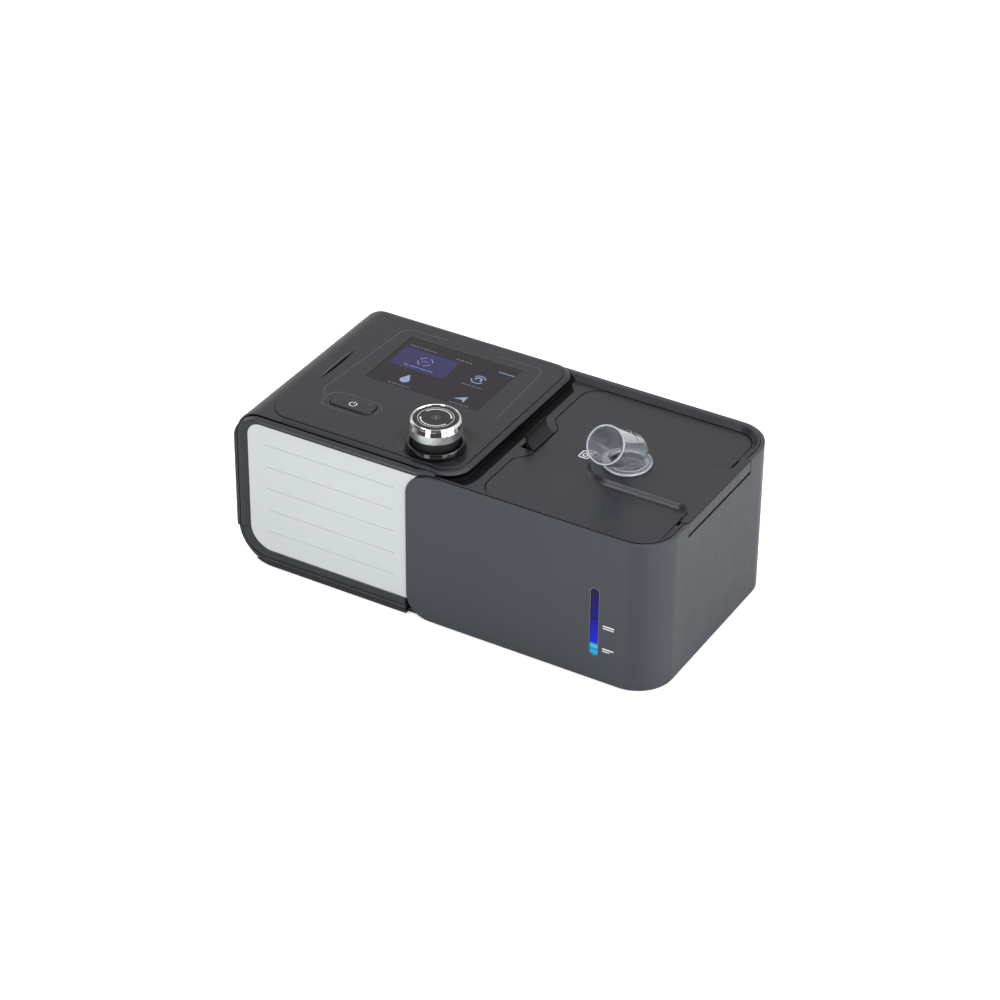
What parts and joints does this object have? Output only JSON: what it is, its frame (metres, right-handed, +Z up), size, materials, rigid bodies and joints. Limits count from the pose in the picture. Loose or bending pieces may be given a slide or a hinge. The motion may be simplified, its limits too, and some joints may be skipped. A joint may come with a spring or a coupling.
{
  "type": "positive airway pressure machine with heated humidifier",
  "caption": "Bedside breathing therapy machine: a blower unit with a screen, button and knob beside a heated humidifier whose hinged lid carries a swivelling hose elbow.",
  "frame": {"origin": "middle of the machine's footprint, on the surface that its feet stand on", "axes": "+X from the control unit to the humidifier, +Y from the front to the back, +Z up"},
  "size_m": [0.27, 0.141, 0.1308],
  "materials": {
    "casing_plastic": "fine matte",
    "bezel_plastic": "satin",
    "light_panel": "matte",
    "fascia_plastic": "fine matte",
    "display_glass": "gloss",
    "module": "gloss",
    "circuit_board": "satin",
    "black_plastic": "satin",
    "gloss_black": "gloss",
    "satin_metal": "satin",
    "chrome_trim": "polished",
    "cap_plastic": "fine texture",
    "tinplate": "plain",
    "steel": "plain",
    "ivory_plastic": "satin",
    "filter_fleece": "felt",
    "foam": "open cell",
    "soft_rubber": "matte",
    "seal_rubber": "satin",
    "sleeve_metallic": "satin metallic",
    "deck_plastic": "fine matte",
    "clear_plastic": "clear",
    "aluminium": "satin",
    "insulation": "matte",
    "blue_window": "lit, gloss"
  },
  "bodies": {
    "machine": {"base_tray": "casing_plastic", "lower_bezel": "bezel_plastic", "upper_casing": "casing_plastic", "front_bezel": "bezel_plastic", "front_panel": "light_panel", "fascia": "fascia_plastic", "display_window": "display_glass", "display_module": "module", "ui_board": "circuit_board", "start_switch": "black_plastic", "knob_base": "gloss_black", "encoder_body": "tinplate", "rear_panel": "casing_plastic", "air_filter": "filter_fleece", "muffler_foam": "foam", "power_inlet": "black_plastic", "blower_lower": "ivory_plastic", "blower_upper": "ivory_plastic", "blower_motor": "steel", "blower_mounts": "soft_rubber", "outlet_duct": "ivory_plastic", "duct_seal": "seal_rubber", "humidifier_sleeve": "sleeve_metallic", "humidifier_deck": "deck_plastic", "hinge_pin": "steel", "water_tank": "clear_plastic", "tank_heat_plate": "aluminium", "heater_plate": "aluminium", "heater_insulator": "insulation", "level_window": "blue_window", "level_light": "circuit_board", "board_screws": "steel", "casing_screws": "steel", "feet": "soft_rubber"},
    "lid": {"lid": "deck_plastic", "lid_gasket": "seal_rubber", "elbow_seal": "seal_rubber"},
    "elbow": {"outlet_elbow": "clear_plastic"},
    "start_key": {"start_button": "fascia_plastic"},
    "knob_plunger": {"encoder_plunger": "ivory_plastic"},
    "knob": {"encoder_shaft": "steel", "knob_core": "black_plastic", "knob_satin_band": "satin_metal", "knob_chrome_ring": "chrome_trim", "knob_cap": "cap_plastic"},
    "latch": {"latch_button": "black_plastic"},
    "rotor": {"impeller": "ivory_plastic", "motor_shaft": "steel"},
    "filter_door": {"filter_cover": "casing_plastic"}
  },
  "joints": [
    {"name": "lid_hinge", "type": "hinge", "parent": "machine", "child": "lid", "pos_m": [0.1319, 0, 0.0916], "axis": [0, 1, 0], "range_deg": [0, 95]},
    {"name": "elbow_swivel", "type": "hinge", "parent": "lid", "child": "elbow", "pos_m": [0.0783, -0.0012, 0.0968], "axis": [0, 0, 1], "continuous": true},
    {"name": "start_press", "type": "slide", "parent": "machine", "child": "start_key", "axis": [0, 0, -1], "range_m": [0, 0.0008], "stiffness_N_per_m": 400, "springref_m": -0.002},
    {"name": "knob_press", "type": "slide", "parent": "machine", "child": "knob_plunger", "axis": [0, 0, -1], "range_m": [0, 0.001], "stiffness_N_per_m": 900, "springref_m": -0.002},
    {"name": "knob_turn", "type": "hinge", "parent": "knob_plunger", "child": "knob", "pos_m": [-0.0193, -0.0413, 0.1], "axis": [0, 0, 1], "continuous": true},
    {"name": "latch_slide", "type": "slide", "parent": "machine", "child": "latch", "axis": [-1, 0, 0], "range_m": [0, 0.0025], "stiffness_N_per_m": 400, "springref_m": -0.002},
    {"name": "rotor_spin", "type": "hinge", "parent": "machine", "child": "rotor", "pos_m": [-0.062, -0.008, 0.05], "axis": [0, 0, 1], "continuous": true},
    {"name": "filter_pull", "type": "slide", "parent": "machine", "child": "filter_door", "axis": [0, 1, 0], "range_m": [0, 0.01]}
  ]
}
